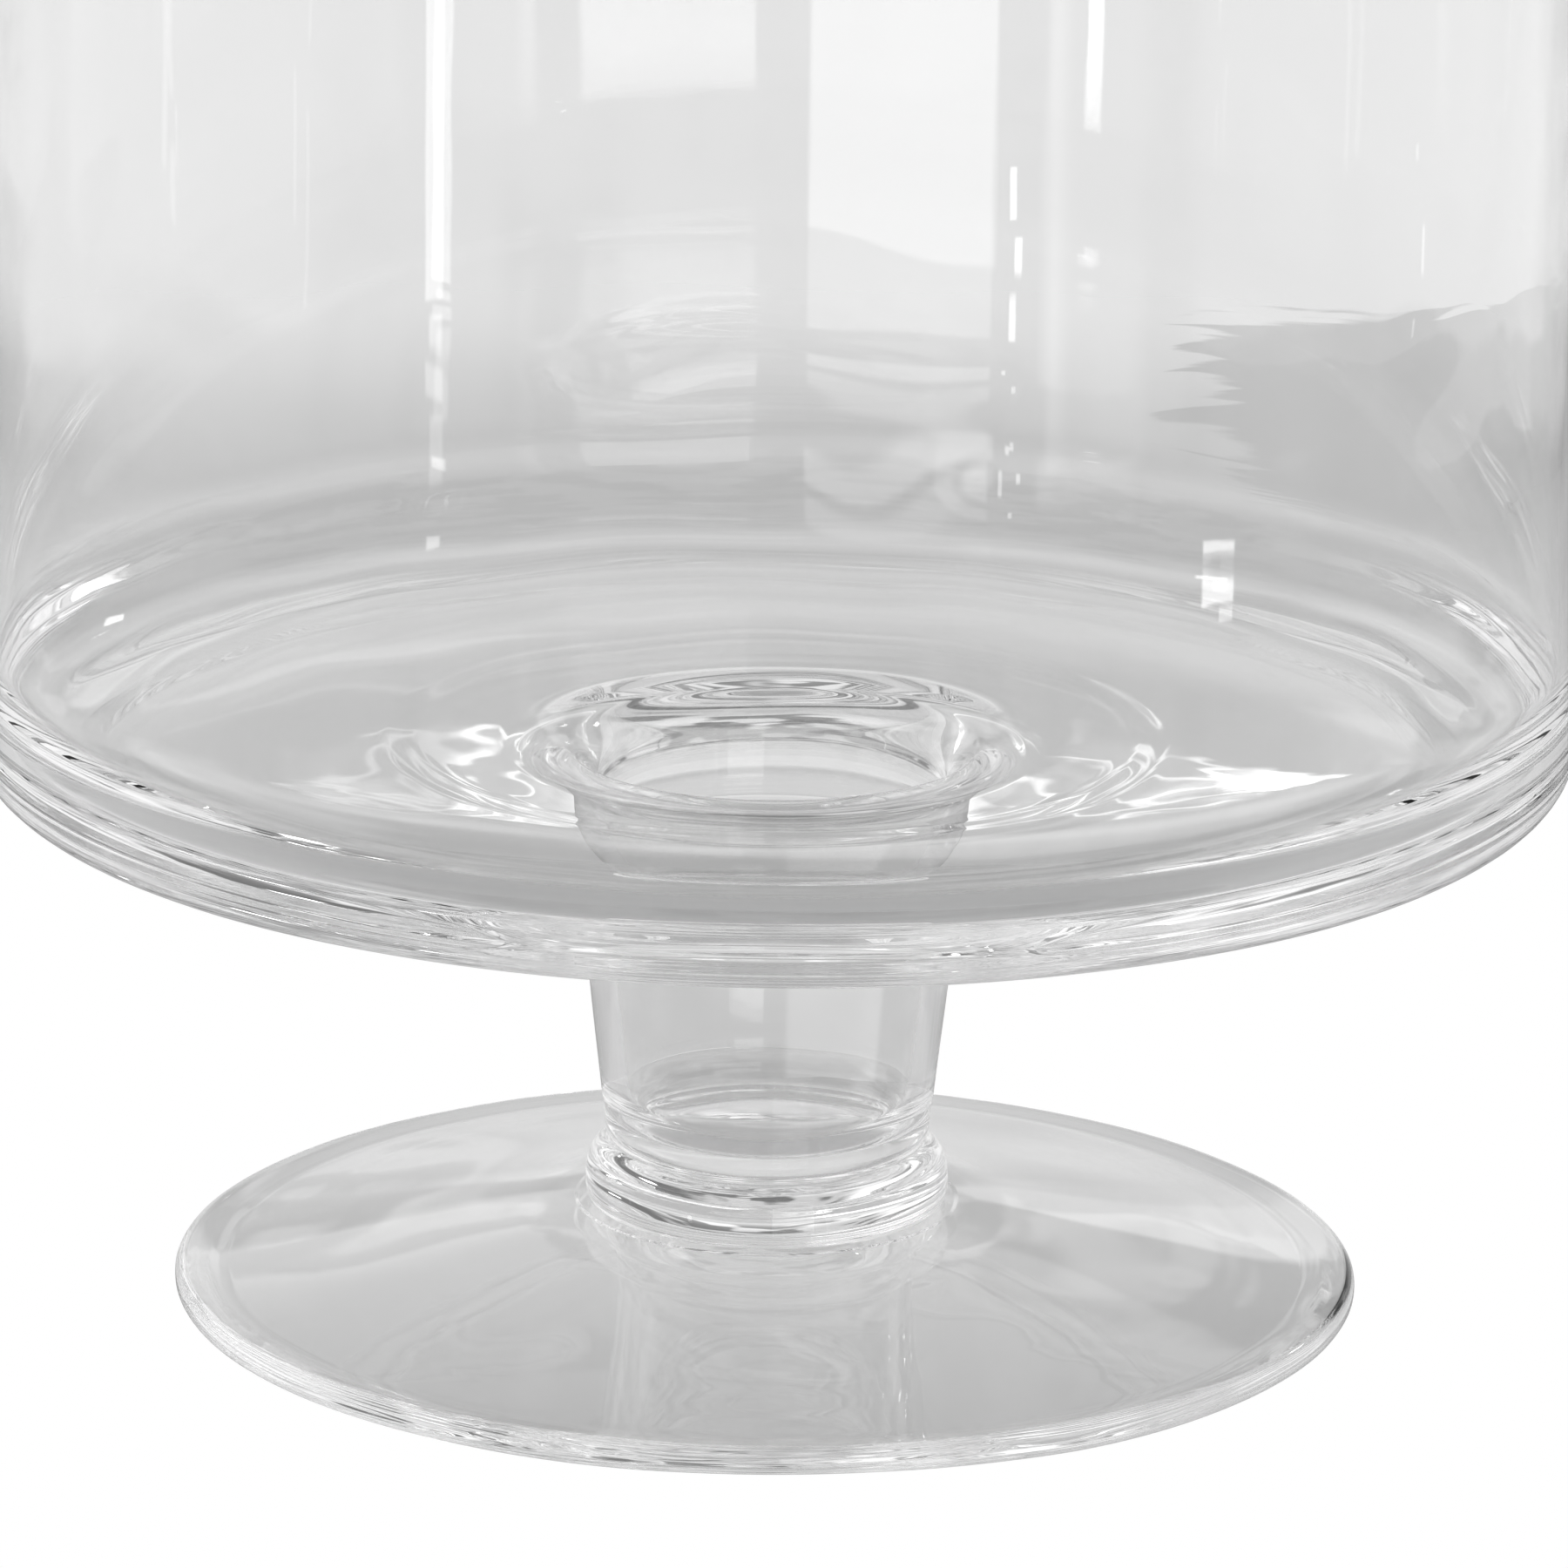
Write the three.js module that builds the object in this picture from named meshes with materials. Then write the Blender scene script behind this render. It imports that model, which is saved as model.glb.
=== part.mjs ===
// Footed glass bowl: a straight-sided bowl whose floor opens into a hollow, tapering stem,
// joined by a solid glass collar to a wide, gently sloping foot.
// Millimetres, +Z up. The origin is the centre of the foot's underside, on the resting plane.
import * as THREE from "three";

// Driving dimensions
const HEIGHT = 228; // resting plane to rim
const BOWL_RADIUS = 105; // outside of the bowl's wall
const BOWL_WALL = 3.2;
const FLOOR_TOP = 75.8; // inside of the bowl's flat floor
const FLOOR_THICKNESS = 6.3;
const FOOT_RADIUS = 77.8;
const FOOT_EDGE = 3.6; // thickness of the foot's rounded edge
const STEM_WALL = 3.6;

// The smooth curves between floor and wall: how far each reaches along the floor and up the wall
const OUTER_CORNER_ALONG = 24;
const OUTER_CORNER_UP = 10.5;
const INNER_CORNER_ALONG = 19;
const INNER_CORNER_UP = 16;

// Heights of the flat seams where one piece of glass is joined to the next
const BOWL_SEAM = 60;
const STEM_SEAM = 20.5;
const COLLAR_SEAM = 12.6;
const SEAM_GAP = 0.3;

// Mouth of the well in the bowl's floor
const DISH_RADIUS = 36; // where the floor starts to sink towards the well
const LIP_RADIUS = 27.2;
const LIP_HEIGHT = 74.8;
const LIP_DEPTH = 5.9; // from the lip down to the straight wall of the well
const WELL_SPREAD = 0.5; // how far the well widens up to the lip
const SEAM_STEP = 0.4; // how far the well narrows down to the seam

// Stem
const STEM_TOP_RADIUS = 25.4;
const STEM_SHOULDER_RADIUS = 8; // fillet from the stem to the underside of the bowl
const STEM_MID_HEIGHT = 41;
const STEM_MID_RADIUS = 23.4;
const STEM_FOOT_RADIUS = 21.4; // just above the rounding at the stem's lower end
const STEM_FOOT_RISE = 2.2;
const NECK_RADIUS = 20.3;
const HOLLOW_RADIUS = 17.8; // the hollow's lower corner
const HOLLOW_CORNER_RADIUS = 7.5;
const HOLLOW_BOTTOM = 22.2;
const HOLLOW_DISHING = 0.6; // how far the hollow's bottom sags in the middle

// Collar and foot
const COLLAR_RADIUS = 23.9;
const COLLAR_RISE = 2.4; // from the collar's lower edge to its widest place
const CREASE_RADIUS = 23.2; // where the collar meets the foot
const REST_INNER = 71.5; // inner edge of the ring that the foot rests on, before rounding
const REST_ROUNDING = 20;
const FOOT_SLOPE_TOP = 28; // radius where the foot's slope turns into the rise to the collar
const KICK_HEIGHT = 8; // hollow under the middle of the foot
const KICK_MID_RADIUS = 32;
const KICK_MID_HEIGHT = 6.4;

const AROUND = 72; // flat faces around each turned piece
const CORNER_STEPS = 5;
const CURVE_STEPS = 7;
const EDGE_ROUNDING = 0.98; // share of half the thickness, so that two roundings never touch
const SURFACE = {
  color: 0xe9eeee,
  roughness: 0.03,
  metalness: 0,
  transparent: true,
  opacity: 0.35,
};

// Adds a straight run to the corner of a profile and an arc of the given radius around it.
function addCorner(path, before, corner, after) {
  const at = new THREE.Vector2(corner.r, corner.z);
  const toBefore = new THREE.Vector2(before.r, before.z).sub(at).normalize();
  const toAfter = new THREE.Vector2(after.r, after.z).sub(at).normalize();
  const halfAngle = Math.acos(toBefore.dot(toAfter)) / 2;
  const toCentre = toBefore.clone().add(toAfter).normalize();
  const centre = at.clone().addScaledVector(toCentre, corner.round / Math.sin(halfAngle));
  const tangent = corner.round / Math.tan(halfAngle);
  const start = at.clone().addScaledVector(toBefore, tangent).sub(centre);
  const end = at.clone().addScaledVector(toAfter, tangent).sub(centre);
  const clockwise = toBefore.cross(toAfter) > 0;
  path.absarc(centre.x, centre.y, corner.round, start.angle(), end.angle(), clockwise);
}

// Turns a list of corners { r, z, round } into a profile of points. A corner may instead be the end
// of a Bezier curve, which starts at the corner before it: { r, z, from: [r, z], to: [r, z] }.
function profile(corners) {
  const path = new THREE.Path();
  path.moveTo(corners[0].r, corners[0].z);
  const points = [new THREE.Vector2(corners[0].r, corners[0].z)];
  for (let i = 1; i < corners.length; i++) {
    const corner = corners[i];
    if (corner.round) addCorner(path, corners[i - 1], corner, corners[i + 1]);
    else if (corner.from) path.bezierCurveTo(...corner.from, ...corner.to, corner.r, corner.z);
    else path.lineTo(corner.r, corner.z);
  }
  for (const curve of path.curves) {
    const steps = curve.isEllipseCurve ? CORNER_STEPS : curve.isCubicBezierCurve ? CURVE_STEPS : 1;
    points.push(...curve.getPoints(steps).slice(1));
  }
  return points;
}

// Turns a profile about the Z axis.
function turned(corners) {
  return new THREE.LatheGeometry(profile(corners), AROUND).rotateX(Math.PI / 2);
}

function glass(name, geometry) {
  const mesh = new THREE.Mesh(geometry, new THREE.MeshStandardMaterial(SURFACE));
  mesh.name = name;
  return mesh;
}

// The wall, the rim, the flat floor and the mouth of the well, down to the seam with the stem.
function bowl() {
  const rim = (BOWL_WALL / 2) * EDGE_ROUNDING;
  const floorBottom = FLOOR_TOP - FLOOR_THICKNESS;
  const inside = BOWL_RADIUS - BOWL_WALL;
  const wellRadius = STEM_TOP_RADIUS - STEM_WALL;
  const seam = { r: wellRadius - SEAM_STEP, z: BOWL_SEAM };
  return turned([
    seam,
    { r: STEM_TOP_RADIUS, z: BOWL_SEAM },
    { r: STEM_TOP_RADIUS + 1, z: floorBottom, round: STEM_SHOULDER_RADIUS },
    { r: BOWL_RADIUS - OUTER_CORNER_ALONG, z: floorBottom },
    {
      r: BOWL_RADIUS,
      z: floorBottom + OUTER_CORNER_UP,
      from: [BOWL_RADIUS - 0.4 * OUTER_CORNER_ALONG, floorBottom],
      to: [BOWL_RADIUS, floorBottom + 0.2],
    },
    { r: BOWL_RADIUS, z: HEIGHT, round: rim },
    { r: inside, z: HEIGHT, round: rim },
    { r: inside, z: FLOOR_TOP + INNER_CORNER_UP },
    {
      r: inside - INNER_CORNER_ALONG,
      z: FLOOR_TOP,
      from: [inside, FLOOR_TOP + 0.3 * INNER_CORNER_UP],
      to: [inside - 0.45 * INNER_CORNER_ALONG, FLOOR_TOP],
    },
    { r: DISH_RADIUS, z: FLOOR_TOP },
    {
      r: LIP_RADIUS,
      z: LIP_HEIGHT,
      from: [DISH_RADIUS - 4, FLOOR_TOP],
      to: [LIP_RADIUS + 2.2, LIP_HEIGHT + 0.63],
    },
    {
      r: wellRadius + WELL_SPREAD,
      z: LIP_HEIGHT - LIP_DEPTH,
      from: [LIP_RADIUS - 2.1, LIP_HEIGHT - 0.6],
      to: [wellRadius + WELL_SPREAD, LIP_HEIGHT - 3.2],
    },
    seam,
  ]);
}

// The tapering tube under the bowl, closed below by a solid base.
function stem() {
  const top = BOWL_SEAM - SEAM_GAP;
  const bottom = STEM_SEAM + SEAM_GAP / 2;
  const hollowEdge = HOLLOW_BOTTOM + HOLLOW_DISHING;
  return turned([
    { r: 0, z: bottom },
    { r: NECK_RADIUS, z: bottom },
    {
      r: STEM_FOOT_RADIUS,
      z: bottom + STEM_FOOT_RISE,
      from: [NECK_RADIUS + 0.6, bottom + 0.4],
      to: [STEM_FOOT_RADIUS - 0.2, bottom + 1.3],
    },
    {
      r: STEM_MID_RADIUS,
      z: STEM_MID_HEIGHT,
      from: [STEM_FOOT_RADIUS + 0.5, STEM_MID_HEIGHT - 13],
      to: [STEM_MID_RADIUS - 0.7, STEM_MID_HEIGHT - 6.5],
    },
    {
      r: STEM_TOP_RADIUS,
      z: top,
      from: [STEM_MID_RADIUS + 0.8, STEM_MID_HEIGHT + 7],
      to: [STEM_TOP_RADIUS - 0.3, top - 3],
    },
    { r: STEM_TOP_RADIUS - STEM_WALL - SEAM_STEP, z: top },
    { r: STEM_MID_RADIUS - STEM_WALL, z: STEM_MID_HEIGHT },
    { r: HOLLOW_RADIUS, z: hollowEdge, round: HOLLOW_CORNER_RADIUS },
    { r: 0, z: HOLLOW_BOTTOM },
  ]);
}

// The solid button of glass between the stem and the foot.
function stemCollar() {
  const top = STEM_SEAM - SEAM_GAP / 2;
  const bottom = COLLAR_SEAM + SEAM_GAP / 2;
  return turned([
    { r: 0, z: bottom },
    { r: CREASE_RADIUS, z: bottom },
    {
      r: COLLAR_RADIUS,
      z: bottom + COLLAR_RISE,
      from: [CREASE_RADIUS + 0.5, bottom + 0.5],
      to: [COLLAR_RADIUS, bottom + 1.3],
    },
    {
      r: NECK_RADIUS,
      z: top,
      from: [COLLAR_RADIUS, top - 2.2],
      to: [NECK_RADIUS + 2.6, top - 0.2],
    },
    { r: 0, z: top },
  ]);
}

// A spun disc: it slopes up to the collar, rests on a flat ring and is hollow underneath.
function foot() {
  const top = COLLAR_SEAM - SEAM_GAP / 2;
  const edge = (FOOT_EDGE / 2) * EDGE_ROUNDING;
  return turned([
    { r: 0, z: KICK_HEIGHT },
    {
      r: KICK_MID_RADIUS,
      z: KICK_MID_HEIGHT,
      from: [14, KICK_HEIGHT],
      to: [24, KICK_HEIGHT - 0.35],
    },
    { r: REST_INNER, z: 0, round: REST_ROUNDING },
    { r: FOOT_RADIUS, z: 0, round: edge },
    { r: FOOT_RADIUS, z: FOOT_EDGE, round: edge },
    { r: FOOT_RADIUS - 3.2, z: FOOT_EDGE + 0.3 },
    {
      r: FOOT_SLOPE_TOP,
      z: top - 0.6,
      from: [58, FOOT_EDGE + 2.8],
      to: [FOOT_SLOPE_TOP + 12, top - 2.15],
    },
    {
      r: CREASE_RADIUS,
      z: top,
      from: [FOOT_SLOPE_TOP - 1.6, top - 0.35],
      to: [CREASE_RADIUS + 1, top - 0.1],
    },
    { r: 0, z: top },
  ]);
}

const footedBowl = new THREE.Group();
footedBowl.add(
  glass("bowl", bowl()),
  glass("stem", stem()),
  glass("stem_collar", stemCollar()),
  glass("foot", foot()),
);
export default footedBowl;
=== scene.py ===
"""The looks of a footed glass bowl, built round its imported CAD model. Metres, +Z up."""
import math

import bpy
import bmesh
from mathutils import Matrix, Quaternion, Vector, noise


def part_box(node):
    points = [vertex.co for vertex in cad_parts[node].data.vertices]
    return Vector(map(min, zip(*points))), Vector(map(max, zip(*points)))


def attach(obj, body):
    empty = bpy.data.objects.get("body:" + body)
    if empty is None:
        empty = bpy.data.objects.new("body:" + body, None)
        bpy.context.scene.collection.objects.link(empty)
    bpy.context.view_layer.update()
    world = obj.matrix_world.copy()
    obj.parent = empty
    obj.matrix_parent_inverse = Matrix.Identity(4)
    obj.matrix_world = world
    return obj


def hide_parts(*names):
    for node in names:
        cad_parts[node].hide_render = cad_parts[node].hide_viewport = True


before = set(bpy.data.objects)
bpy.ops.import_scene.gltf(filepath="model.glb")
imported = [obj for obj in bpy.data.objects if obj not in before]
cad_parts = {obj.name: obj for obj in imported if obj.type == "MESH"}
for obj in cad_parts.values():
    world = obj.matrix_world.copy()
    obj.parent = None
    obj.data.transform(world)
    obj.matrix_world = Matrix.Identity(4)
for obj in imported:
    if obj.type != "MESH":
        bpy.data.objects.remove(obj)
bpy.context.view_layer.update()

MM = 0.001

# Places and sizes from the frame
BOWL_LOW, BOWL_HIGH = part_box("bowl")
STEM_LOW, STEM_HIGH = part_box("stem")
COLLAR_LOW, COLLAR_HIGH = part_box("stem_collar")
FOOT_LOW, FOOT_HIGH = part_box("foot")
BOWL_RADIUS = BOWL_HIGH.x
STEM_TOP_RADIUS = STEM_HIGH.x
COLLAR_RADIUS = COLLAR_HIGH.x
FOOT_RADIUS = FOOT_HIGH.x
HEIGHT = BOWL_HIGH.z
BOWL_SEAM = BOWL_LOW.z
STEM_SEAM = (STEM_LOW.z + COLLAR_HIGH.z) / 2
COLLAR_SEAM = (COLLAR_LOW.z + FOOT_HIGH.z) / 2
SEAM_GAP = 0.02 * MM  # the pieces all but touch, so the fused glass looks unbroken

# The rest of the bowl's outline
BOWL_WALL = 3.2 * MM
FLOOR_TOP = 75.8 * MM
FLOOR_THICKNESS = 6.3 * MM
STEM_WALL = 3.6 * MM
# The smooth curves between floor and wall: how far each reaches along the floor and up the wall
OUTER_CORNER = Vector((24, 10.5)) * MM
INNER_CORNER = Vector((19, 16)) * MM
# Mouth of the well in the bowl's floor
DISH_RADIUS = 36 * MM  # where the floor starts to sink towards the well
LIP_RADIUS = 27.2 * MM
LIP_HEIGHT = 74.8 * MM
LIP_DEPTH = 5.9 * MM  # from the lip down to the straight wall of the well
WELL_RADIUS = STEM_TOP_RADIUS - STEM_WALL
WELL_SPREAD = 0.5 * MM  # how far the well widens up to the lip
SEAM_STEP = 0.4 * MM  # how far the well narrows down to the seam

# The rest of the stem's outline
STEM_SHOULDER = 8 * MM
STEM_MID_HEIGHT = 41 * MM
STEM_MID_RADIUS = 23.4 * MM
STEM_FOOT_RADIUS = 21.4 * MM  # just above the rounding at the stem's lower end
STEM_FOOT_RISE = 2.2 * MM
NECK_RADIUS = 20.3 * MM
HOLLOW_RADIUS = 17.8 * MM
HOLLOW_ROUNDING = 7.5 * MM
HOLLOW_EDGE = 22.8 * MM  # height of the hollow's lower corner
HOLLOW_BOTTOM = 22.2 * MM

# The rest of the collar's and the foot's outline
CREASE_RADIUS = 23.2 * MM  # where the collar meets the foot
COLLAR_RISE = 2.4 * MM  # from the collar's lower edge to its widest place
FOOT_EDGE = 3.6 * MM
FOOT_SLOPE_TOP = 28 * MM  # radius where the foot's slope turns into the rise to the collar
REST_INNER = 71.5 * MM
REST_ROUNDING = 20 * MM
KICK_HEIGHT = 8 * MM  # hollow under the middle of the foot
KICK_MID_RADIUS = 32 * MM
KICK_MID_HEIGHT = 6.4 * MM

EDGE_ROUNDING = 0.98  # share of half the thickness, so that two roundings never touch

# How far each surface wanders: long swells, shorter ones on them, and lines drawn round the piece
BOWL_WAVE = 0.07 * MM
STEM_WAVE = 0.1 * MM
COLLAR_WAVE = 0.1 * MM
FOOT_WAVE = 0.22 * MM
SWELL_LENGTH = 45 * MM
SHORTER_SWELLS = 2.8  # to each long one
SHORTER_SHARE = 0.3
LINE_LENGTH = 9 * MM
LINE_TURNS = 1.8  # how fast a line changes on its way round
LINE_SHARE = 0.13
# Fine rings left by the tools: inner and outer radius, from one ring to the next, how far they stand
BOWL_RINGS = (70 * MM, BOWL_RADIUS, 3.1 * MM, 0.012 * MM)
FLOOR_RINGS = (46 * MM, 51 * MM, 3 * MM, 0.05 * MM)
FOOT_RINGS = (50 * MM, FOOT_RADIUS, 3.3 * MM, 0.01 * MM)

# The studio: how bright each part of it is, with white as 1
ROOM_WALL = 0.78
CEILING = 0.75
CEILING_BEHIND = 0.4
OVERHEAD = 0.6
TABLE_SIDE = 0.3
# Painted light: the table glows by itself where the glass sees it, darker in front of the bowl and
# brighter behind it
TABLE_FRONT = 0.16
TABLE_BEHIND = 0.36
TABLE_FAR = 0.24
TABLE_SHADOW = 0.09  # taken off the table's brightness
TABLE_COLOUR = (0.5, 0.5, 0.5, 1)
BEYOND_TABLE = 0.84
# Painted shade: the table's painted light is made darker on the far right
DARK_SIDE = 0.72  # how bright the table is on the far right, set against the rest
WHITE = (1, 1, 1, 1)
# Where one part of the room goes over into the next, in degrees above level
TABLE_TO_WALL = (-14.6, -13.2)
WALL_TO_CEILING = (12.0, 26.0)
CEILING_TO_OVERHEAD = (42.0, 55.0)
# Where each part of the table starts or ends, in metres behind the bowl's axis
FRONT_TO_BEHIND = (-0.09, 0.04)
BEHIND_TO_FAR = (0.27, 0.42)
SHADOW_MIDDLE = 0.118
SHADOW_REACH = (0.045, 0.02)  # to either side of its middle
DARK_SIDE_START = (0.26, 0.36)
DARK_SIDE_END = (0.593, 0.587)
BEYOND_START = (0.2, 0.3)
# The same in metres to the right of it, to either side of it and all round it
DARK_SIDE_LEFT = (0.108, 0.112)
BEYOND_SIDES = (0.35, 0.25)
TABLE_EDGE = (0.42, 0.56)
# The torn edge of the dark side: how fine the tears are, then how deep away from the camera and across
TORN_SCALE = (14, 70, 0)
TORN_AWAY = 0.1
TORN_ACROSS = 0.06
# Painted sheen: a look down at the table dims its painted light and hides its pools. A look is the Z of
# its direction, so 0 is level
STEEP_LOOK = (0.31, 0.5)
STEEP_DIMMING = 0.5
GLANCING_LOOK = (0.36, 0.3)
# The pattern inside the pools of light
BENT_SCALE = 30
BENT_EDGE = 2.4
BENT_LEVELS = (0.42, 0.6)
BENT_LIGHT = (0.1, 0.6)
FOLD_SCALE = 45
FOLD_WIDTH = 0.11
FOLD_LIGHT = 0.7
POOL_EDGE = (1.05, 0.75)  # set against the pool's half sizes
# How uneven the room's heights are, in degrees
ROOM_UNEVEN = 0.2
ROOM_STREAKED = 0.3
LAMPS_STREAKED = 0.04
STREAK_SCALE = (6, 6, 90)
# Patches on the ceiling and wisps on the table's far edge: where they set in, in degrees above level,
# where the mottle turns from dark to light, and how bright it makes them
PATCHES_START = (4.0, 18.0)
PATCH_LEVELS = (0.45, 0.54)
PATCH_LIGHT = (0.45, 1.6)
WISPS_START = (-5.0, -11.0)
WISP_LEVELS = (0.35, 0.65)
WISP_LIGHT = (0.86, 1.1)
CEILING_TURN = (-0.1, 0.5)  # how far a look points behind the object where the ceiling darkens

# The room's panels: bearing in degrees right of the camera's own side, half width, lowest and highest
# degrees above level, brightness, then the softness of the sides and of the ends
PANELS = [
    (-113, 16, 18, 46, 1.0, 6, 4),
    (124, 18, 14, 44, 1.1, 8, 4),
    (46, 34, -40, -20, 2.3, 3, 3),
    (150, 12, 18, 42, 0.15, 4, 3),
    (-150, 9, 22, 42, 1.5, 5, 3),
    (39.5, 2.0, -14.6, 26, 1.8, 0.8, 0.1),
    (46, 6, -14.6, 26, 1.0, 1.5, 0.1),
    (98, 38, -13.95, 18, 1.05, 2.0, 0.05),
    (-30, 9, -14.3, -13.3, 0.05, 3, 0.3),
    (-100, 32, -14.2, 18, 1.0, 4.0, 0.4),
    (-174, 5, -15.5, -12.5, 0.84, 2.0, 0.5),
]
# The same for the windows and lamps, which are smaller and have straighter edges
LAMPS = [
    (-48.4, 1.35, -13.75, -6, 5, 0.3, 0.02),
    (-48.1, 1.0, -13.96, -13.84, 4, 0.3, 0.03),
    (-48.4, 1.35, -14.2, -14.03, 3.5, 0.3, 0.03),
    (-48.1, 1.0, -14.5, -14.3, 2.5, 0.3, 0.04),
    (-48.4, 1.0, -14.93, -14.82, 6, 0.3, 0.02),
    (17, 13, -13.84, 22, 2.7, 0.4, 0.04),
    (17, 13, -14.49, -14.28, 2.6, 0.4, 0.04),
    (17, 13, -14.76, -14.58, 1.8, 0.4, 0.04),
    (-95, 0.5, -13.25, -6, 2.0, 0.4, 0.1),
    (-70.4, 0.25, -13.7, -12.8, 2.0, 0.2, 0.1),
    (101.6, 0.3, -13.75, -13.5, 3.0, 0.2, 0.03),
    (150, 2, 28, 31, 9, 0.5, 0.3),
    (33.2, 0.5, -13.87, -13.55, 9, 0.15, 0.03),
    (32, 0.3, -14.42, -14.34, 6, 0.1, 0.02),
    (33.6, 0.3, -14.72, -14.62, 6, 0.1, 0.02),
    (64.6, 2.6, -15.06, -15.02, 9, 0.3, 0.015),
    (66, 1.1, -15.17, -15.08, 5, 0.2, 0.02),
]

# Pools of light on the table: centre, half sizes in metres, brightness
POOLS = [
    (-0.062, 0.214, 0.02, 0.03, 0.4),
    (-0.036, 0.212, 0.013, 0.03, 1.2),
    (0.031, 0.212, 0.013, 0.03, 1.2),
    (0.06, 0.222, 0.02, 0.03, 1.0),
    (0.077, 0.228, 0.013, 0.022, 2.5),
]

AROUND = 300  # faces around a turned piece
STEP = 1.5 * MM  # longest step along a straight run of an outline
CORNER_STEPS = 14
CURVE_STEPS = 22
TOUCHING = 1e-7
SEAM_REACH = 0.2 * MM  # how near a seam's height a point has to be to belong to the seam
DEGREES = 180 / math.pi  # in one radian


def arc_points(before, corner, after, radius):
    """The rounding of a corner as points, from the run before it to the run after it."""
    to_before = (before - corner).normalized()
    to_after = (after - corner).normalized()
    half = to_before.angle(to_after) / 2
    centre = corner + (to_before + to_after).normalized() * (radius / math.sin(half))
    start = corner + to_before * (radius / math.tan(half)) - centre
    end = corner + to_after * (radius / math.tan(half)) - centre
    turn = math.atan2(start.x * end.y - start.y * end.x, start.dot(end))
    points = []
    for i in range(CORNER_STEPS + 1):
        angle = turn * i / CORNER_STEPS
        cos, sin = math.cos(angle), math.sin(angle)
        points.append(centre + Vector((start.x * cos - start.y * sin, start.x * sin + start.y * cos)))
    return points


def bezier_points(start, from_, to, end):
    points = []
    for i in range(1, CURVE_STEPS + 1):
        t = i / CURVE_STEPS
        s = 1 - t
        points.append(start * s**3 + from_ * (3 * s * s * t) + to * (3 * s * t * t) + end * t**3)
    return points


def run_points(start, end):
    """Points after start along a straight run, close enough to carry the waviness of the glass."""
    steps = max(1, math.ceil((end - start).length / STEP))
    return [start.lerp(end, i / steps) for i in range(1, steps + 1)]


def outline(corners):
    """Turns corners (radius, height, rounding) into points. A rounding may instead be the two handles
    of a Bezier curve that ends there, each (radius, height)."""
    places = [Vector(c[:2]) for c in corners]
    points = [places[0]]
    for i in range(1, len(corners)):
        rounding = corners[i][2] if len(corners[i]) > 2 else 0
        if isinstance(rounding, tuple):
            points += bezier_points(points[-1], Vector(rounding[0]), Vector(rounding[1]), places[i])
        elif rounding:
            arc = arc_points(places[i - 1], places[i], places[i + 1], rounding)
            points += run_points(points[-1], arc[0]) + arc[1:]
        else:
            points += run_points(points[-1], places[i])
    return points


def wave(spot, amplitude):
    """How far hand-worked glass stands off its true surface: long swells, shorter ones on them, and
    lines that run round the piece, as it was turned while soft."""
    angle = math.atan2(spot.y, spot.x)
    radius = math.hypot(spot.x, spot.y)
    swell = spot / SWELL_LENGTH
    along = (radius + spot.z) / LINE_LENGTH
    line = Vector((math.cos(angle) * LINE_TURNS, math.sin(angle) * LINE_TURNS, along))
    shorter = SHORTER_SHARE * noise.noise(swell * SHORTER_SWELLS)
    return amplitude * (noise.noise(swell) + shorter + LINE_SHARE * noise.noise(line))


def on_seam(height, seams):
    return any(abs(height - seam) < SEAM_REACH for seam in seams)


def circle(shape, point, before, after, push_at):
    """Adds the vertices that one point of an outline is turned into. They stand off the outline by
    push_at(spot), square to the line from the point before to the point after."""
    if point.x < TOUCHING:
        return [shape.verts.new((0, 0, point.y))]
    along = (after - before).normalized()
    out = Vector((along.y, -along.x))
    verts = []
    for k in range(AROUND):
        a = 2 * math.pi * k / AROUND
        push = push_at(Vector((point.x * math.cos(a), point.x * math.sin(a), point.y)))
        r = point.x + out.x * push
        verts.append(shape.verts.new((r * math.cos(a), r * math.sin(a), point.y + out.y * push)))
    return verts


def turned(name, points, seams, swell, rings):
    """A closed mesh turned about the Z axis. Faces that lie flat at a height in seams are the fused
    joints between pieces, and take the second material. swell is how far the surface wanders, and
    rings(radius, height) how far it stands off in rings there."""
    shape = bmesh.new()
    circles = []
    closed = (points[0] - points[-1]).length < TOUCHING
    for i, p in enumerate(points[:-1] if closed else points):
        before = points[i - 1] if i else points[-2] if closed else p
        after = points[i + 1] if i + 1 < len(points) else p
        joint = on_seam(p.y, seams)
        ring_push = 0 if joint else rings(p.x, p.y)
        amplitude = 0 if joint else swell
        circles.append(circle(shape, p, before, after, lambda spot: ring_push + wave(spot, amplitude)))
    pairs = list(zip(circles, circles[1:]))
    if closed:
        pairs.append((circles[-1], circles[0]))
    for low, high in pairs:
        for k in range(AROUND):
            n = (k + 1) % AROUND
            corners = [low[k % len(low)], low[n % len(low)], high[n % len(high)], high[k % len(high)]]
            unique = list(dict.fromkeys(corners))
            if len(unique) > 2:
                shape.faces.new(unique)
    bmesh.ops.recalc_face_normals(shape, faces=shape.faces)
    for face in shape.faces:
        heights = [v.co.z for v in face.verts]
        level = max(heights) - min(heights) < 1e-6
        joint = level and on_seam(heights[0], seams)
        face.material_index = 1 if joint else 0
        face.smooth = not joint
    mesh = bpy.data.meshes.new(name)
    shape.to_mesh(mesh)
    shape.free()
    piece = bpy.data.objects.new(name, mesh)
    bpy.context.scene.collection.objects.link(piece)
    return piece


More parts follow.
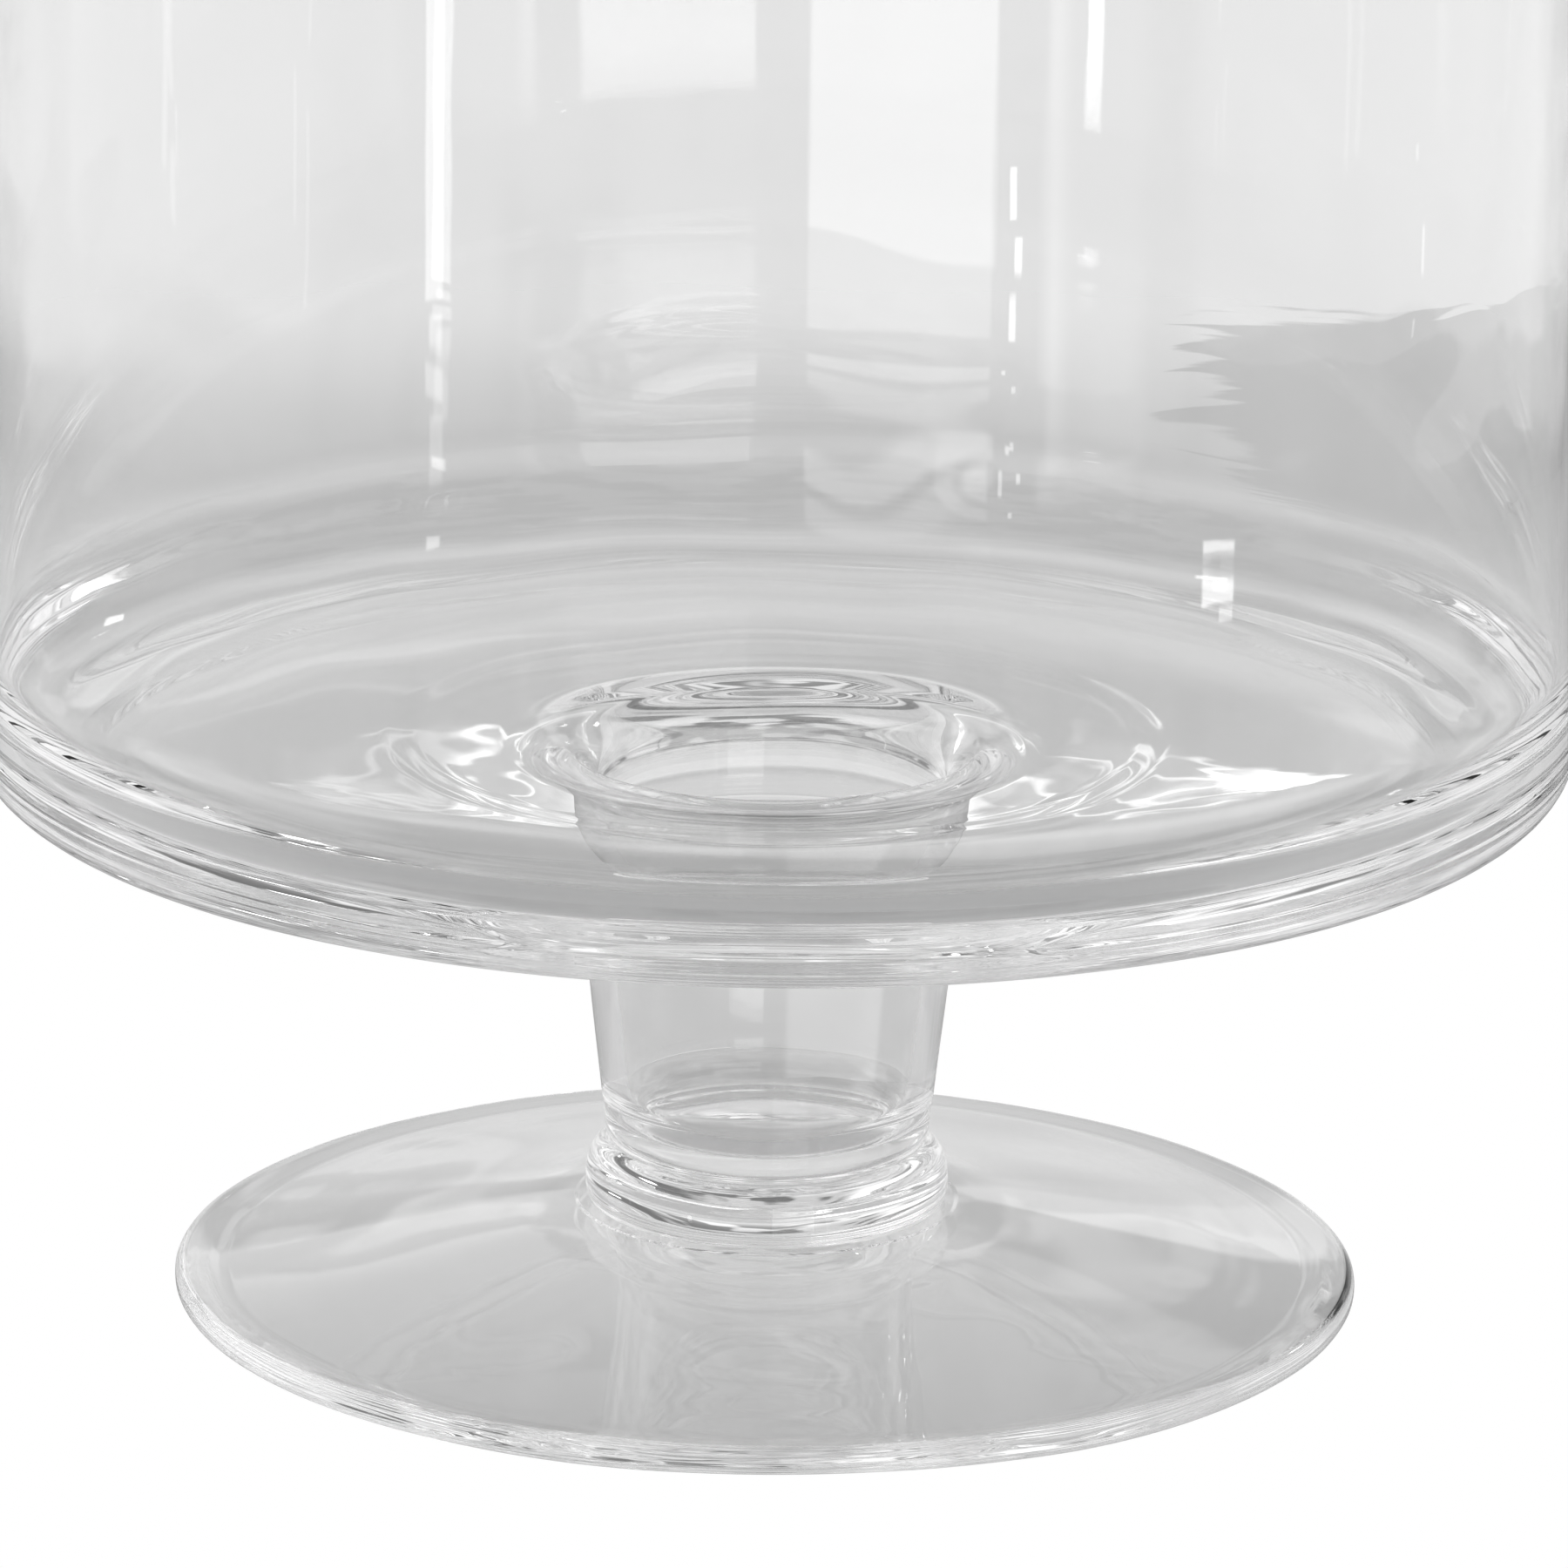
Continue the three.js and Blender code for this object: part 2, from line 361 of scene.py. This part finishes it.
class Wiring:
    """Short ways to add the nodes of one tree. A value is either a number or another node's output."""

    def __init__(self, tree):
        self.nodes, self.links = tree.nodes, tree.links
        self.nodes.clear()

    def feed(self, socket, value):
        if isinstance(value, bpy.types.NodeSocket):
            self.links.new(value, socket)
        else:
            socket.default_value = value

    def math(self, operation, *values):
        node = self.nodes.new("ShaderNodeMath")
        node.operation = operation
        for socket, value in zip(node.inputs, values):
            self.feed(socket, value)
        return node.outputs[0]

    def vector(self, operation, *values):
        node = self.nodes.new("ShaderNodeVectorMath")
        node.operation = operation
        for socket, value in zip(node.inputs, values):
            self.feed(socket, value)
        return node.outputs["Value" if operation in ("DOT_PRODUCT", "LENGTH") else "Vector"]

    def axes(self, vector):
        """The X, Y and Z of a vector, by name."""
        node = self.nodes.new("ShaderNodeSeparateXYZ")
        self.links.new(vector, node.inputs[0])
        return node.outputs

    def ramp(self, value, start, end, low=0.0, high=1.0):
        """Goes smoothly from low at start to high at end."""
        node = self.nodes.new("ShaderNodeMapRange")
        node.interpolation_type = "SMOOTHSTEP"
        sockets = ("Value", "From Min", "From Max", "To Min", "To Max")
        for name, amount in zip(sockets, (value, start, end, low, high)):
            self.feed(node.inputs[name], amount)
        return node.outputs["Result"]

    def mottle(self, place, scale, detail):
        node = self.nodes.new("ShaderNodeTexNoise")
        node.inputs["Scale"].default_value = scale
        node.inputs["Detail"].default_value = detail
        self.links.new(place, node.inputs["Vector"])
        return node.outputs["Fac"]

    def centred(self, amount, width):
        """Spreads an amount between 0 and 1 evenly round 0."""
        return self.math("MULTIPLY_ADD", amount, width, -width / 2)

    def blend(self, under, over, mask):
        return self.math("ADD", under, self.math("MULTIPLY", mask, self.math("SUBTRACT", over, under)))

    def light_path(self):
        """What kind of ray is looking, by name."""
        return self.nodes.new("ShaderNodeLightPath").outputs

    def glow(self, node_type, strength):
        node = self.nodes.new(node_type)
        node.inputs["Color"].default_value = WHITE
        self.feed(node.inputs["Strength"], strength)
        return node.outputs[0]

    def clear(self, shade=1.0):
        node = self.nodes.new("ShaderNodeBsdfTransparent")
        node.inputs["Color"].default_value = (shade, shade, shade, 1)
        return node.outputs["BSDF"]

    def mix(self, mask, under, over):
        node = self.nodes.new("ShaderNodeMixShader")
        self.links.new(mask, node.inputs["Fac"])
        self.links.new(under, node.inputs[1])
        self.links.new(over, node.inputs[2])
        return node.outputs["Shader"]

    def finish(self, node_type, shader):
        self.links.new(shader, self.nodes.new(node_type).inputs["Surface"])


def new_material(name):
    material = bpy.data.materials.new(name)
    material.use_nodes = True
    return material, Wiring(material.node_tree)


def glass_material(name, tint, shade):
    """Clear glass. Rays that leave the floor or look for its shadows go straight through it."""
    material, wiring = new_material(name)
    glass = wiring.nodes.new("ShaderNodeBsdfPrincipled")
    glass.inputs["Base Color"].default_value = (tint, tint, tint, 1)
    glass.inputs["Transmission Weight"].default_value = 1
    glass.inputs["IOR"].default_value = 1.5
    glass.inputs["Roughness"].default_value = 0
    clear = wiring.clear(shade)
    path = wiring.light_path()
    bounced = wiring.mix(path["Is Diffuse Ray"], glass.outputs["BSDF"], clear)
    lit = wiring.mix(path["Is Shadow Ray"], bounced, clear)
    wiring.finish("ShaderNodeOutputMaterial", lit)
    return material


def seam_material():
    material, wiring = new_material("fused_seam")
    wiring.finish("ShaderNodeOutputMaterial", wiring.clear())
    return material


def bowl_outline():
    rim = BOWL_WALL / 2 * EDGE_ROUNDING
    floor_bottom = FLOOR_TOP - FLOOR_THICKNESS
    inside = BOWL_RADIUS - BOWL_WALL
    well_top = WELL_RADIUS + WELL_SPREAD
    seam = (WELL_RADIUS - SEAM_STEP, BOWL_SEAM + SEAM_GAP / 2)
    return outline([
        seam,
        (STEM_TOP_RADIUS, seam[1]),
        (STEM_TOP_RADIUS + 1 * MM, floor_bottom, STEM_SHOULDER),
        (BOWL_RADIUS - OUTER_CORNER.x, floor_bottom),
        (BOWL_RADIUS, floor_bottom + OUTER_CORNER.y,
         ((BOWL_RADIUS - 0.4 * OUTER_CORNER.x, floor_bottom), (BOWL_RADIUS, floor_bottom + 0.2 * MM))),
        (BOWL_RADIUS, HEIGHT, rim),
        (inside, HEIGHT, rim),
        (inside, FLOOR_TOP + INNER_CORNER.y),
        (inside - INNER_CORNER.x, FLOOR_TOP,
         ((inside, FLOOR_TOP + 0.3 * INNER_CORNER.y), (inside - 0.45 * INNER_CORNER.x, FLOOR_TOP))),
        (DISH_RADIUS, FLOOR_TOP),
        (LIP_RADIUS, LIP_HEIGHT,
         ((DISH_RADIUS - 4 * MM, FLOOR_TOP), (LIP_RADIUS + 2.2 * MM, LIP_HEIGHT + 0.63 * MM))),
        (well_top, LIP_HEIGHT - LIP_DEPTH,
         ((LIP_RADIUS - 2.1 * MM, LIP_HEIGHT - 0.6 * MM), (well_top, LIP_HEIGHT - 3.2 * MM))),
        seam,
    ])


def stem_outline():
    top = BOWL_SEAM - SEAM_GAP / 2
    bottom = STEM_SEAM + SEAM_GAP / 2
    foot, mid, mid_height = STEM_FOOT_RADIUS, STEM_MID_RADIUS, STEM_MID_HEIGHT
    return outline([
        (0, bottom),
        (NECK_RADIUS, bottom),
        (foot, bottom + STEM_FOOT_RISE,
         ((NECK_RADIUS + 0.6 * MM, bottom + 0.4 * MM), (foot - 0.2 * MM, bottom + 1.3 * MM))),
        (mid, mid_height,
         ((foot + 0.5 * MM, mid_height - 13 * MM), (mid - 0.7 * MM, mid_height - 6.5 * MM))),
        (STEM_TOP_RADIUS, top,
         ((mid + 0.8 * MM, mid_height + 7 * MM), (STEM_TOP_RADIUS - 0.3 * MM, BOWL_SEAM - 3 * MM))),
        (WELL_RADIUS - SEAM_STEP, top),
        (mid - STEM_WALL, mid_height),
        (HOLLOW_RADIUS, HOLLOW_EDGE, HOLLOW_ROUNDING),
        (0, HOLLOW_BOTTOM),
    ])


def collar_outline():
    top = STEM_SEAM - SEAM_GAP / 2
    bottom = COLLAR_SEAM + SEAM_GAP / 2
    return outline([
        (0, bottom),
        (CREASE_RADIUS, bottom),
        (COLLAR_RADIUS, bottom + COLLAR_RISE,
         ((CREASE_RADIUS + 0.5 * MM, bottom + 0.5 * MM), (COLLAR_RADIUS, bottom + 1.3 * MM))),
        (NECK_RADIUS, top,
         ((COLLAR_RADIUS, top - 2.2 * MM), (NECK_RADIUS + 2.6 * MM, top - 0.2 * MM))),
        (0, top),
    ])


def foot_outline():
    top = COLLAR_SEAM - SEAM_GAP / 2
    edge = FOOT_EDGE / 2 * EDGE_ROUNDING
    return outline([
        (0, KICK_HEIGHT),
        (KICK_MID_RADIUS, KICK_MID_HEIGHT,
         ((14 * MM, KICK_HEIGHT), (24 * MM, KICK_HEIGHT - 0.35 * MM))),
        (REST_INNER, 0, REST_ROUNDING),
        (FOOT_RADIUS, 0, edge),
        (FOOT_RADIUS, FOOT_EDGE, edge),
        (FOOT_RADIUS - 3.2 * MM, FOOT_EDGE + 0.3 * MM),
        (FOOT_SLOPE_TOP, top - 0.6 * MM,
         ((58 * MM, FOOT_EDGE + 2.8 * MM), (FOOT_SLOPE_TOP + 12 * MM, COLLAR_SEAM - 2.3 * MM))),
        (CREASE_RADIUS, top,
         ((FOOT_SLOPE_TOP - 1.6 * MM, top - 0.35 * MM), (CREASE_RADIUS + 1 * MM, top - 0.1 * MM))),
        (0, top),
    ])


def ripple(radius, start, end, pitch, amount):
    """Fine rings that the tools leave on a spun surface, fading in and out between two radii."""
    if not start < radius < end:
        return 0
    fade = math.sin(math.pi * (radius - start) / (end - start))
    uneven = noise.noise(Vector((radius / pitch * 0.6, 0, 0)))
    return amount * fade * (math.sin(2 * math.pi * radius / pitch) + 1.5 * uneven)


def bowl_rings(radius, height):
    if height > FLOOR_TOP + INNER_CORNER.y:
        return 0
    tool_mark = ripple(radius, *FLOOR_RINGS) if height > FLOOR_TOP - MM else 0
    return tool_mark + ripple(radius, *BOWL_RINGS)


def foot_rings(radius, height):
    return ripple(radius, *FOOT_RINGS)


def no_rings(radius, height):
    return 0


GLASS = glass_material("clear_glass", tint=0.965, shade=0.95)
SEAM = seam_material()


def add_piece(name, points, seams, swell, rings):
    piece = turned(name + "_glass", points, seams, swell, rings)
    piece.data.materials.append(GLASS)
    piece.data.materials.append(SEAM)
    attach(piece, "root")
    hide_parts(name)


def dark_side(wiring, place):
    """Painted shade: how much darker the table's painted light gets on the far right, where its edge
    looks torn through the glass.
    """
    axes = wiring.axes(place)
    torn = wiring.mottle(wiring.vector("MULTIPLY", place, TORN_SCALE), 1, 3)
    near = wiring.ramp(wiring.math("MULTIPLY_ADD", torn, TORN_AWAY, axes["Y"]), *DARK_SIDE_END)
    right = wiring.ramp(wiring.math("MULTIPLY_ADD", torn, TORN_ACROSS, axes["X"]), *DARK_SIDE_LEFT)
    start = wiring.ramp(axes["Y"], *DARK_SIDE_START)
    mask = wiring.math("MULTIPLY", wiring.math("MULTIPLY", near, right), start)
    return wiring.blend(1.0, DARK_SIDE, mask)


def table_light(wiring, place):
    """How bright the table looks through the glass, all painted light: brighter behind the bowl, past its
    painted soft shadow, with painted pools of light where the bowl would throw them."""
    behind = wiring.axes(place)["Y"]
    light = wiring.ramp(behind, *FRONT_TO_BEHIND, TABLE_FRONT, TABLE_BEHIND)
    light = wiring.blend(light, TABLE_FAR, wiring.ramp(behind, *BEHIND_TO_FAR))
    off_shadow = wiring.math("ABSOLUTE", wiring.math("SUBTRACT", behind, SHADOW_MIDDLE))
    shadow = wiring.math("MULTIPLY", wiring.ramp(off_shadow, *SHADOW_REACH), TABLE_SHADOW)
    light = wiring.math("SUBTRACT", light, shadow)
    # Painted sheen: the table's painted light dims where it is seen from higher up, and its pools show
    # only at a glancing look
    look = wiring.axes(wiring.nodes.new("ShaderNodeNewGeometry").outputs["Incoming"])["Z"]
    light = wiring.math("MULTIPLY", light, wiring.ramp(look, *STEEP_LOOK, 1.0, STEEP_DIMMING))
    bent = wiring.mottle(place, BENT_SCALE, 3)
    fold = wiring.math("ABSOLUTE", wiring.centred(wiring.mottle(place, FOLD_SCALE, 2), 2.0))
    lines = wiring.ramp(fold, FOLD_WIDTH, 0.0)
    pattern = wiring.math("MULTIPLY_ADD", lines, FOLD_LIGHT, wiring.ramp(bent, *BENT_LEVELS, *BENT_LIGHT))
    pattern = wiring.math("MULTIPLY", pattern, wiring.ramp(look, *GLANCING_LOOK))
    for x, y, half_x, half_y, strength in POOLS:
        shifted = wiring.vector("SUBTRACT", place, (x, y, 0))
        away = wiring.vector("LENGTH", wiring.vector("DIVIDE", shifted, (half_x, half_y, 1)))
        away = wiring.math("ADD", away, wiring.centred(bent, BENT_EDGE))
        pool = wiring.math("MULTIPLY", wiring.ramp(away, *POOL_EDGE), pattern)
        light = wiring.math("MULTIPLY_ADD", pool, strength, light)
    return light


def make_stage():
    """The floor. The camera sees plain white; the glass sees a table that glows with painted light and
    shade, and ends in the room.
    """
    bpy.ops.mesh.primitive_plane_add(size=4, location=(0, 0, -0.0002))
    floor = bpy.context.object
    floor.name = "floor"
    floor.visible_glossy = False
    material, wiring = new_material("pale_floor")
    place = wiring.nodes.new("ShaderNodeTexCoord").outputs["Object"]
    side = dark_side(wiring, place)
    matt = wiring.nodes.new("ShaderNodeBsdfDiffuse")
    matt.inputs["Color"].default_value = TABLE_COLOUR
    # Painted light: the table glows with its painted brightness, shadow, sheen and pools of light
    painted_glow = wiring.glow("ShaderNodeEmission", wiring.math("MULTIPLY", side, table_light(wiring, place)))
    table = wiring.nodes.new("ShaderNodeAddShader")
    wiring.links.new(matt.outputs["BSDF"], table.inputs[0])
    wiring.links.new(painted_glow, table.inputs[1])
    beyond = wiring.glow("ShaderNodeEmission", wiring.math("MULTIPLY", side, BEYOND_TABLE))
    axes = wiring.axes(place)
    across = wiring.ramp(wiring.math("ABSOLUTE", axes["X"]), *BEYOND_SIDES)
    behind = wiring.math("MULTIPLY", across, wiring.ramp(axes["Y"], *BEYOND_START))
    around = wiring.mix(behind, wiring.clear(), beyond)
    edge = wiring.ramp(wiring.vector("LENGTH", place), *TABLE_EDGE)
    seen_in_glass = wiring.mix(edge, table.outputs["Shader"], around)
    white = wiring.glow("ShaderNodeEmission", 1.0)
    seen = wiring.mix(wiring.light_path()["Is Camera Ray"], seen_in_glass, white)
    wiring.finish("ShaderNodeOutputMaterial", seen)
    floor.data.materials.append(material)


def make_world():
    """A pale studio with windows, seen only through and in the glass. The camera itself sees white."""
    world = bpy.data.worlds.new("studio")
    bpy.context.scene.world = world
    world.use_nodes = True
    wiring = Wiring(world.node_tree)
    direction = wiring.nodes.new("ShaderNodeTexCoord").outputs["Generated"]

    def toward(bearing):
        """How far the direction points to a bearing, in degrees right of the camera's own side."""
        angle = math.radians(bearing)
        return wiring.vector("DOT_PRODUCT", direction, (math.sin(angle), -math.cos(angle), 0))

    def panel(light, level, bearing, half_width, low, high, strength, soft, soft_level):
        """Adds a panel of the room to its light. level is how high the direction points, in degrees."""
        side = wiring.math("ARCTAN2", toward(bearing + 90), toward(bearing))
        off = wiring.math("ABSOLUTE", wiring.math("MULTIPLY", side, DEGREES))
        across = wiring.ramp(off, half_width + soft, half_width - soft)
        up = wiring.ramp(level, low - soft_level, low + soft_level)
        down = wiring.ramp(level, high + soft_level, high - soft_level)
        mask = wiring.math("MULTIPLY", across, wiring.math("MULTIPLY", up, down))
        return wiring.blend(light, strength, mask)

    level = wiring.math("MULTIPLY", wiring.math("ARCSINE", wiring.axes(direction)["Z"]), DEGREES)
    streaks = wiring.mottle(wiring.vector("MULTIPLY", direction, STREAK_SCALE), 1, 3)
    lamp_level = wiring.math("ADD", level, wiring.centred(streaks, LAMPS_STREAKED))
    level = wiring.math("ADD", level, wiring.centred(wiring.mottle(direction, 7, 2), ROOM_UNEVEN))
    level = wiring.math("ADD", level, wiring.centred(streaks, ROOM_STREAKED))

    light = wiring.ramp(level, *TABLE_TO_WALL, TABLE_SIDE, ROOM_WALL)
    ceiling = wiring.ramp(toward(180), *CEILING_TURN, CEILING, CEILING_BEHIND)
    light = wiring.blend(light, ceiling, wiring.ramp(level, *WALL_TO_CEILING))
    light = wiring.blend(light, OVERHEAD, wiring.ramp(level, *CEILING_TO_OVERHEAD))
    patches = wiring.ramp(wiring.mottle(direction, 6, 2), *PATCH_LEVELS, *PATCH_LIGHT)
    patches = wiring.blend(1.0, patches, wiring.ramp(level, *PATCHES_START))
    light = wiring.math("MULTIPLY", light, patches)
    wisps = wiring.ramp(streaks, *WISP_LEVELS, *WISP_LIGHT)
    wisps = wiring.blend(1.0, wisps, wiring.ramp(level, *WISPS_START))
    light = wiring.math("MULTIPLY", light, wisps)
    for row in PANELS:
        light = panel(light, level, *row)
    for row in LAMPS:
        light = panel(light, lamp_level, *row)
    room = wiring.glow("ShaderNodeBackground", light)
    white = wiring.glow("ShaderNodeBackground", 1.0)
    seen = wiring.mix(wiring.light_path()["Is Camera Ray"], room, white)
    wiring.finish("ShaderNodeOutputWorld", seen)


def make_camera():
    distance = 1.64
    elevation = math.radians(16.03)
    roll = math.radians(0.78)
    target = Vector((1.6 * MM, 0, 68.8 * MM))
    view_width = 204.7 * MM
    data = bpy.data.cameras.new("camera")
    camera = bpy.data.objects.new("camera", data)
    bpy.context.scene.collection.objects.link(camera)
    back = Vector((0, -math.cos(elevation), math.sin(elevation)))
    camera.location = target + back * distance
    level = (-back).to_track_quat("-Z", "Y")
    camera.rotation_euler = (level @ Quaternion((0, 0, 1), roll)).to_euler()
    data.sensor_width = 36
    data.lens = data.sensor_width * distance / view_width
    data.clip_start = 0.1
    data.clip_end = 50
    bpy.context.scene.camera = camera


add_piece("bowl", bowl_outline(), [BOWL_SEAM], BOWL_WAVE, bowl_rings)
add_piece("stem", stem_outline(), [BOWL_SEAM, STEM_SEAM], STEM_WAVE, no_rings)
add_piece("stem_collar", collar_outline(), [STEM_SEAM, COLLAR_SEAM], COLLAR_WAVE, no_rings)
add_piece("foot", foot_outline(), [COLLAR_SEAM], FOOT_WAVE, foot_rings)
make_stage()
make_world()
make_camera()
scene = bpy.context.scene
scene.view_settings.view_transform = "Standard"
scene.cycles.max_bounces = 128
scene.cycles.transmission_bounces = 128
scene.cycles.glossy_bounces = 64
scene.cycles.transparent_max_bounces = 64
scene.cycles.caustics_reflective = False
scene.cycles.caustics_refractive = False
